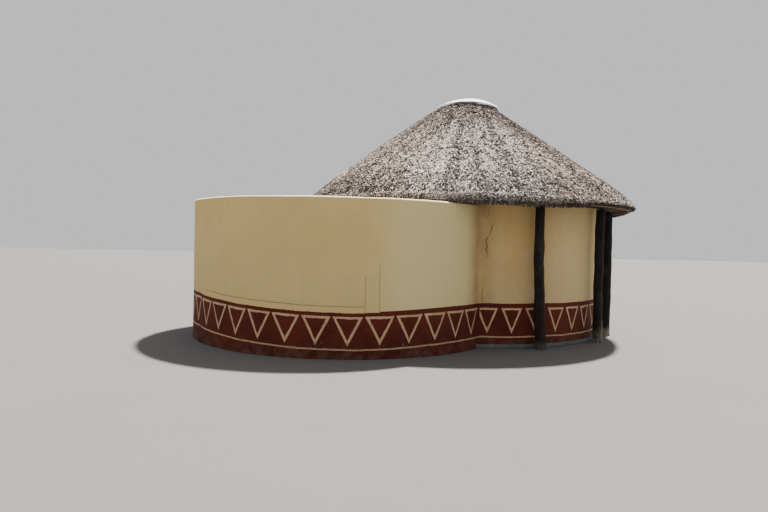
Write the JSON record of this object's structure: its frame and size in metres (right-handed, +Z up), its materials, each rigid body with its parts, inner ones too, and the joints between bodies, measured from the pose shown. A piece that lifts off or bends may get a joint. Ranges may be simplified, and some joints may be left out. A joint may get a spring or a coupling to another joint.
{
  "type": "rondavel hut",
  "caption": "Round plastered hut with a conical thatch roof on a ring of poles, and a round walled open-air court at its side.",
  "frame": {"origin": "centre of the round hut at ground level", "axes": "+Z up; +X out through the middle of the entrance, away from the doorway into the court; the seen side faces -Y"},
  "size_m": [8.1216, 6.2945, 4.4138],
  "materials": {
    "cement": "grey cement floor slab, worn and stained at its edge",
    "hut_plaster": "ochre painted plaster with a red-brown painted band",
    "court_plaster": "cream painted plaster with a red-brown painted band",
    "frame_wood": "weathered brown timber",
    "tarred_pole": "near-black creosoted round trunks",
    "roof_wood": "debarked brown roof poles",
    "lath_wood": "thin brown laths",
    "thatch": "weathered grey-brown grass thatch",
    "cap_cement": "pale weathered mortar cap"
  },
  "bodies": {
    "root": {"floor_slab": "cement", "hut_wall_front_1": "hut_plaster", "hut_wall_front_2": "hut_plaster", "hut_wall_front_3": "hut_plaster", "hut_wall_front_4": "hut_plaster", "hut_wall_back_1": "hut_plaster", "hut_wall_back_2": "hut_plaster", "hut_wall_back_3": "hut_plaster", "hut_wall_back_4": "hut_plaster", "wall_over_entrance": "hut_plaster", "wall_over_court_door": "hut_plaster", "court_wall_1": "court_plaster", "court_wall_2": "court_plaster", "court_wall_3": "court_plaster", "court_wall_4": "court_plaster", "court_wall_5": "court_plaster", "court_wall_6": "court_plaster", "entrance_jambs": "frame_wood", "entrance_head": "frame_wood", "entrance_sill": "frame_wood", "court_door_jambs": "frame_wood", "court_door_head": "frame_wood", "court_door_sill": "frame_wood", "pole_1": "tarred_pole", "pole_2": "tarred_pole", "pole_3": "tarred_pole", "pole_4": "tarred_pole", "pole_5": "tarred_pole", "pole_6": "tarred_pole", "pole_7": "tarred_pole", "pole_8": "tarred_pole", "pole_9": "tarred_pole", "pole_10": "tarred_pole", "pole_11": "tarred_pole", "pole_12": "tarred_pole", "ring_beam": "tarred_pole", "long_rafters": "roof_wood", "short_rafters": "roof_wood", "king_block": "roof_wood", "laths": "lath_wood", "thatch_front": "thatch", "thatch_back": "thatch", "roof_cap": "cap_cement"}
  },
  "joints": []
}
